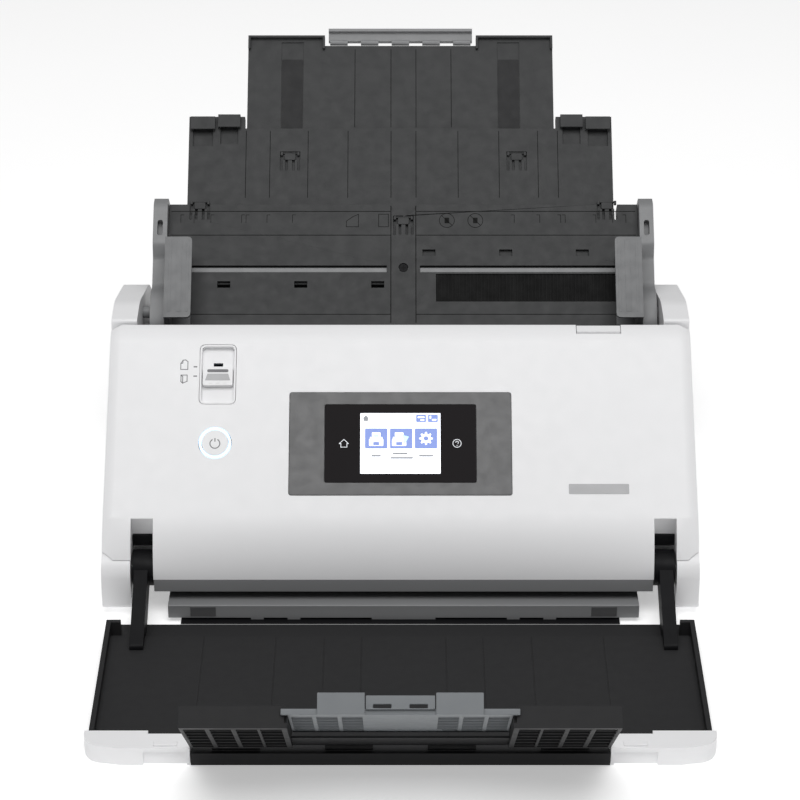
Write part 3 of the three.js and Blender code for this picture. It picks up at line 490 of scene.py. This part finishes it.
def panel_keys():
    low, high = GLASS_TOP, GLASS_TOP + LAYER
    keys = Drawing(SLOPE)
    keys.path(home_outline(-35.7, -0.2, 2.9), 0.42, low, high, closed=True)
    keys.ring(35.8, 0.0, 2.6, 0.42, low, high)
    keys.ring(35.8, 0.5, 0.85, 0.42, low, high, -60, 180)
    keys.disc(35.8, -1.4, 0.3, low, high, 16)
    keys.made("panel_key_symbols", "cover", "panel_glass", KEY_WHITE)


POWER_X, POWER_U = -117.2, 0.5
POWER_CAP = 0.3  # height of the power button's top above the cover's face


def power_symbol():
    low, high = POWER_CAP, POWER_CAP + 0.04
    symbol = Drawing(SLOPE).ring(POWER_X, POWER_U - 0.6, 3.1, 0.62, low, high, 120, 420)
    symbol.line(POWER_X, POWER_U + 1.0, POWER_X, POWER_U + 2.7, 0.62, low, high)
    symbol.made("power_symbol", "button", "body_white", INK_AND_SLOT_SHADE)


def selector_symbols():
    """The plate beside the feed selector: a single sheet, a folded sheet and a tick for each."""
    plate = Drawing(SLOPE).slab(-136.5, 48.3, 17.0, 25.0, -0.2, 0.06, 1.5)
    plate.made("selector_symbol_plate", "cover", "body_white")
    low, high = 0.06, 0.1
    ink = Drawing(SLOPE)
    sheet = [
        (-140.0, 49.4), (-135.5, 49.4), (-135.5, 54.6),
        (-137.0, 55.8), (-138.6, 55.6), (-140.0, 53.4),
    ]
    ink.path(sheet, 0.5, low, high, closed=True)
    ink.path([(-140.0, 53.4), (-138.8, 53.6), (-138.6, 55.6)], 0.45, low, high)
    booklet = [
        (-139.7, 41.2), (-138.6, 40.2), (-138.6, 44.6), (-139.7, 45.6),
        (-135.8, 45.6), (-135.8, 41.4), (-138.6, 40.2),
    ]
    ink.path(booklet, 0.5, low, high)
    ink.line(-139.7, 41.2, -139.7, 45.6, 0.5, low, high)
    for u in (51.2, 44.9):
        ink.line(-131.4, u, -129.9, u, 0.8, low, high)
    ink.made("selector_symbols", "cover", "body_white", INK_AND_SLOT_SHADE)


def name_plate():
    plate = Drawing(SLOPE).slab(124.85, -29.9, 37.9, 6.6, -0.3, 0.25, 0.6)
    plate.made("name_plate", "cover", "trim_grey", PLATE_AND_FACET_SHADE_GREY, rounding=0.15)


# Input tray

TRAY_LEFT, TRAY_RIGHT = PATH_X - 155, PATH_X + 155
# Near black for the ribbed panel and the size marks, and painted black shade in the tray's grooves
# and in the screws' crossed slots.
BLACK_AND_GROOVE_SHADE = moulded("black_and_painted_groove_shade", (0.004, 0.004, 0.004), 0.7, grain=0.1, specular=0.2)
STRIP = moulded("sunken_strip", (0.024, 0.024, 0.025), 0.55, specular=0.2)
LINE_RISE = 0.06  # how far a drawn line stands out of its face
SUNK = 0.1  # how far it reaches down into the face
MIDDLE_STRIP = 8.3  # half width of the strip down the middle of the tray
PAPER_HALF_WIDTHS = (74, 91, 105, 108, 128.5, 139.7, 148.5)
EXTENSION_1_FACE = -50.7
EXTENSION_2_FACE = -52.6
GUIDE_FACE = TRAY_FACE + 28
RIB_PITCH = 2.4
SIDES = ((-1, "left"), (1, "right"))


def tray_lines():
    """The grooves between the tray's raised and sunken bands, and along the edges of its middle
    strip, drawn as lines of painted black shade.
    """
    low, high = TRAY_FACE - SUNK, TRAY_FACE + LINE_RISE
    groove_shade_lines = Drawing(SLOPE)
    for u in (104, 160, 177):
        for x0, x1 in ((TRAY_LEFT, PATH_X - 8.6), (PATH_X + 8.6, TRAY_RIGHT)):
            groove_shade_lines.block(x0, x1, u - 0.25, u + 0.25, low, high)
    for x in (PATH_X - MIDDLE_STRIP, PATH_X + MIDDLE_STRIP):
        groove_shade_lines.block(x - 0.3, x + 0.3, 98, 181, low, high)
    groove_shade_lines.made("tray_groove_shade", "input_tray", "tray_grey", BLACK_AND_GROOVE_SHADE)


def size_marks():
    """Ticks for the edges of the paper sizes, and pictograms of how sheets lie in the tray."""
    low, high = TRAY_FACE - SUNK, TRAY_FACE + LINE_RISE
    marks = Drawing(SLOPE)
    for reach in PAPER_HALF_WIDTHS:
        for side in (-1, 1):
            x = PATH_X + side * reach
            marks.line(x, 169, x, 174.5, 0.35, low, high)
            marks.line(x, 174.5, x - side * 2, 174.5, 0.35, low, high)
    stack = [(-36, 166), (-36, 170), (-32, 173), (-28, 175), (-28, 166)]
    marks.path(stack, 0.4, low, high, closed=True)
    page = [(-14.5, 166), (-14.5, 175), (-8, 175), (-8, 166)]
    marks.path(page, 0.4, low, high, closed=True)
    for x in (31, 50):
        marks.ring(x, 170.5, 5, 0.4, low, high)
        marks.line(x - 3.4, 174, x + 3.4, 167, 0.4, low, high)
        marks.slab(x, 170.5, 3, 4, low, high, 0.4)
    marks.made("size_marks", "input_tray", "tray_grey", BLACK_AND_GROOVE_SHADE)


def ribbed_panel():
    panel = Drawing(SLOPE)
    for i in range(49):
        x = PATH_X + 22.2 + i * RIB_PITCH
        panel.block(x, x + 1.1, 113.3, 132.2, TRAY_FACE - 1.5, TRAY_FACE - 0.4)
    panel.block(PATH_X + 21.7, PATH_X + 140.4, 113.1, 132.4, TRAY_FACE - 1.5, TRAY_FACE - 1.2)
    panel.made("ribbed_panel", "input_tray", "inner_black", BLACK_AND_GROOVE_SHADE)


def comb_clip(name, body, x, top, face):
    """The small sprung clip in a comb shaped slot."""
    clip = Drawing(SLOPE).slab(x, top - 4, 7.4, 4.6, face - 2.2, face + 0.5, 0.8)
    for dx in (-5.6, 5.6):
        clip.slab(x + dx, top - 1.6, 1.6, 2.6, face - 2.2, face + 0.3, 0.4)
    clip.block(x - 6, x + 6, top - 1.4, top - 0.4, face - 2.2, face - 0.4)
    clip.made(name, body, "tray_grey", rounding=0.2)


def tray_fastenings():
    centre = Drawing(SLOPE).disc(PATH_X, 137, 2.9, TRAY_FACE - 1.4, TRAY_FACE - 0.5)
    centre.made("tray_screw", "input_tray", "inner_black", rounding=0.2)
    # The screw's crossed slot is drawn in painted black shade, standing just above the screw's top.
    cross = Drawing(SLOPE)
    cross.line(PATH_X - 1.4, 137, PATH_X + 1.4, 137, 0.7, TRAY_FACE - 0.6, TRAY_FACE - 0.44)
    cross.line(PATH_X, 135.6, PATH_X, 138.4, 0.7, TRAY_FACE - 0.6, TRAY_FACE - 0.45)
    cross.made("tray_screw_cross", "input_tray", "inner_black", BLACK_AND_GROOVE_SHADE)
    for side, name in SIDES:
        comb_clip(f"{name}_tray_clip", "input_tray", PATH_X + side * 136, 185, TRAY_FACE)
    comb_clip("centre_tray_clip", "input_tray", PATH_X, 174, TRAY_FACE)
    for side, name in SIDES:
        x = PATH_X + side * 76.3
        comb_clip(f"{name}_extension_clip", "input_extension_1", x, 221.5, EXTENSION_1_FACE)


def extension_lines():
    # The grooves across both extensions are drawn as lines of painted black shade.
    face = EXTENSION_1_FACE
    groove_shade_lines = Drawing(SLOPE)
    for x in (-104, -87.8, -62.2, -35.3, -6.3, 10.5, 38.8, 66.4, 92.6, 106):
        groove_shade_lines.block(x - 0.22, x + 0.22, 188, 236.5, face - SUNK, face + LINE_RISE)
    groove_shade_lines.made("extension_1_groove_shade", "input_extension_1", "tray_grey", BLACK_AND_GROOVE_SHADE)
    face = EXTENSION_2_FACE
    groove_shade_lines = Drawing(SLOPE)
    for x in (-30.9, -6.4, 10.6, 34.5):
        groove_shade_lines.block(x - 0.22, x + 0.22, 240, 298, face - SUNK, face + LINE_RISE)
    groove_shade_lines.made("extension_2_groove_shade", "input_extension_2", "tray_grey", BLACK_AND_GROOVE_SHADE)
    strips = Drawing(SLOPE)
    for side, _ in SIDES:
        strips.slab(side * 73.5, 265, 14.2, 51, face - 0.9, face - 0.6, 0.5)
    strips.made("extension_2_strips", "input_extension_2", "tray_grey", STRIP)


def guide_ribs():
    """Raised ribs down the face of each paper edge guide."""
    for side, name in SIDES:
        ribs = Drawing(SLOPE)
        for reach, width in ((141, 1.6), (146.5, 3.4), (152.5, 1.6)):
            x = PATH_X + side * reach
            half = width / 2
            ribs.block(x - half, x + half, 96, 145.5, GUIDE_FACE - 0.1, GUIDE_FACE + 0.15)
        ribs.made(f"{name}_guide_ribs", f"{name}_guide", "guide_grey", rounding=0.05)


# Controls on the cover

SELECTOR_X, SELECTOR_U = -116.3, 45.0


def selector_details():
    """The slot, sloped facet and grip on the feed selector's slider, with the slot and the facet
    drawn flat in painted shade.
    """
    x, u = SELECTOR_X, SELECTOR_U
    # The slot's depth is shown as painted dark shade on a flat piece.
    slot = Drawing(SLOPE).slab(x, u + 3.4, 13.5, 2.0, 0.35, 0.48, 0.9)
    slot.made("selector_slot_shade", "selector", "body_white", INK_AND_SLOT_SHADE)
    # The facet's slope is shown as painted grey shade on a flat piece.
    corners = [(x - 6.6, u + 1.4), (x + 6.6, u + 1.4), (x + 8, u - 3), (x - 8, u - 3)]
    facet = Drawing(SLOPE).prism(corners, 0.3, 0.62)
    facet.made("selector_facet_shade", "selector", "body_white", PLATE_AND_FACET_SHADE_GREY, rounding=0.12)
    grip = Drawing(SLOPE)
    for dx in (-4.6, 0, 4.6):
        grip.slab(x + dx, u - 4.6, 2.6, 0.9, 0.3, 0.75, 0.3)
    grip.made("selector_grip", "selector", "body_white", rounding=0.12)


def power_glow():
    glow = Drawing(SLOPE).ring(POWER_X, POWER_U, 9.3, 0.7, 0.15, 0.26)
    glow.made("power_glow", "cover", "ring_light", RING_WHITE)


# Output side

NOTCH_INNER, NOTCH_OUTER = 157.3, 170.7  # from the path's middle


def notch_liners():
    """The dark backing in each recess that an output tray arm folds into."""
    for side, name in SIDES:
        pivot = middle(f"{name}_hinge_pin") / MM
        x0, x1 = sorted(PATH_X + side * reach for reach in (NOTCH_INNER, NOTCH_OUTER))
        liner = Drawing(ROW)
        liner.block(x0, x1, pivot.y + 6.6, pivot.y + 10.4, pivot.z + 12, pivot.z + 20)
        liner.made(f"{name}_notch_liner", "cover", "inner_black", rounding=0.4)


def extension_fins():
    """Cross ribs under the two raised extensions of the output tray."""
    fins = Drawing(RAISED)
    for side, _ in SIDES:
        for reach in (65.5, 79, 93.5, 108):
            x0, x1 = sorted((side * reach, side * (reach + 12)))
            for i in range(6):
                y = -87 + i * 13
                fins.block(x0 - 0.2, x1 + 0.2, y, y + 1.2, -2.2, -0.5)
    fins.made("extension_1_fins", "output_extension_1", "output_black", rounding=0.15)
    fins = Drawing(RAISED)
    for side, _ in SIDES:
        for reach in (21, 35, 49):
            x0, x1 = sorted((side * reach, side * (reach + 11.5)))
            for i in range(9):
                y = -91 + i * 7
                fins.block(x0 - 0.2, x1 + 0.2, y, y + 1.4, 4.8, 6.3)
    for i in range(5):
        fins.slab(PATH_X - 18 + i * 9, -38, 7.6, 5, 4.45, 4.7, 0.4)
    fins.made("extension_2_fins", "output_extension_2", "stopper_grey", rounding=0.15)


def exit_inserts():
    """Dark clips at the two ends of the exit guide."""
    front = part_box("exit_guide")[0].y / MM
    for side, name in SIDES:
        x = PATH_X + side * 126
        insert = Drawing(ROW).block(x - 8, x + 8, front - 0.35, front + 0.4, 4.2, 11)
        insert.made(f"{name}_exit_clip", "base", "bezel_grey", rounding=0.15)


def cap_bumps():
    """The raised thumb pad over the finger notch in each tray end cap."""
    for side, name in SIDES:
        low, high = (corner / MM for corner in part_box(f"{name}_tray_cap"))
        x = side * 137
        pad = Drawing(ROW)
        pad.block(x - 7, x + 7, low.y + 1.6, low.y + 5.5, high.z - 0.3, high.z + 1.2)
        pad.made(f"{name}_cap_pad", "output_tray", "body_white", rounding=0.5)


# Back


def back_details():
    """A blank label, and six screws with crossed slots."""
    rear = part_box("rear_cover")[1].y / MM
    back = ROW @ Matrix.Translation((0, rear, 0)) @ Matrix.Rotation(math.radians(-90), 4, "X")
    label = Drawing(back).slab(-10, -66, 62, 26, -0.2, 0.12, 1.5)
    label.made("blank_label", "base", "body_white", PLATE_AND_FACET_SHADE_GREY)
    screws = Drawing(back)
    # The crossed slots on the steel screws are drawn in painted black shade.
    crosses = Drawing(back)
    for x in (-158, 0, 158):
        for u in (-12, -88):
            screws.disc(x, u, 3.2, -0.2, 0.7)
            crosses.line(x - 1.6, u, x + 1.6, u, 0.8, 0.6, 0.76)
            crosses.line(x, u - 1.6, x, u + 1.6, 0.8, 0.6, 0.75)
    screws.made("back_screws", "base", "steel", rounding=0.25)
    crosses.made("back_screw_crosses", "base", "inner_black", BLACK_AND_GROOVE_SHADE)


# Floor, light and camera


def stage():
    mesh = bpy.data.meshes.new("floor")
    bm = bmesh.new()
    bmesh.ops.create_grid(bm, x_segments=1, y_segments=1, size=6)
    bm.to_mesh(mesh)
    bm.free()
    floor = bpy.data.objects.new("floor", mesh)
    floor.location.z = -0.0005
    bpy.context.scene.collection.objects.link(floor)
    surface = Surface("pale_floor").set(
        Roughness=0.9, Specular_IOR_Level=0.1, Emission_Color=(1, 1, 1, 1), Emission_Strength=0.4
    )
    patches = surface.spread(surface.noise(3), 0, 1)
    tone = surface.mixed(patches, (0.93, 0.93, 0.93), (0.95, 0.95, 0.95))
    surface.colour(tone)
    mesh.materials.append(surface.material)


def area_light(name, place, target, size, power):
    light = bpy.data.lights.new(name, "AREA")
    light.shape = "RECTANGLE"
    light.size, light.size_y = size
    light.energy = power
    lamp = bpy.data.objects.new(name, light)
    lamp.location = place
    lamp.rotation_euler = (Vector(target) - Vector(place)).to_track_quat("-Z", "Y").to_euler()
    bpy.context.scene.collection.objects.link(lamp)


def studio():
    world = bpy.data.worlds.new("studio")
    world.use_nodes = True
    background = world.node_tree.nodes["Background"]
    background.inputs["Color"].default_value = (1, 1, 1, 1)
    background.inputs["Strength"].default_value = 0.22
    bpy.context.scene.world = world
    area_light("key", (0, -0.8, 1.85), (0, 0, 0.1), (1.7, 1.1), 25)
    area_light("top", (0, 0.5, 1.9), (0, 0, 0.1), (2.0, 1.4), 5)
    bpy.context.scene.view_settings.view_transform = "Standard"


CAMERA_PLACE = FACE_POINT + Vector((-0.00025, -1.5026, 0.8993))
CAMERA_TILT = 60  # degrees from straight down


def camera():
    lens = bpy.data.cameras.new("camera")
    lens.sensor_width = 36
    lens.lens = 124.7
    lens.clip_start = 0.05
    lens.clip_end = 50
    eye = bpy.data.objects.new("camera", lens)
    eye.location = CAMERA_PLACE
    eye.rotation_euler = (math.radians(CAMERA_TILT), 0, 0)
    bpy.context.scene.collection.objects.link(eye)
    bpy.context.scene.camera = eye


camera()
studio()
stage()
for (slot, rounding), names in NODES.items():
    for node in names.split():
        refined(node, slot, rounding)
display()
panel_keys()
power_symbol()
selector_symbols()
name_plate()
tray_lines()
size_marks()
ribbed_panel()
tray_fastenings()
extension_lines()
guide_ribs()
selector_details()
power_glow()
notch_liners()
extension_fins()
exit_inserts()
cap_bumps()
back_details()
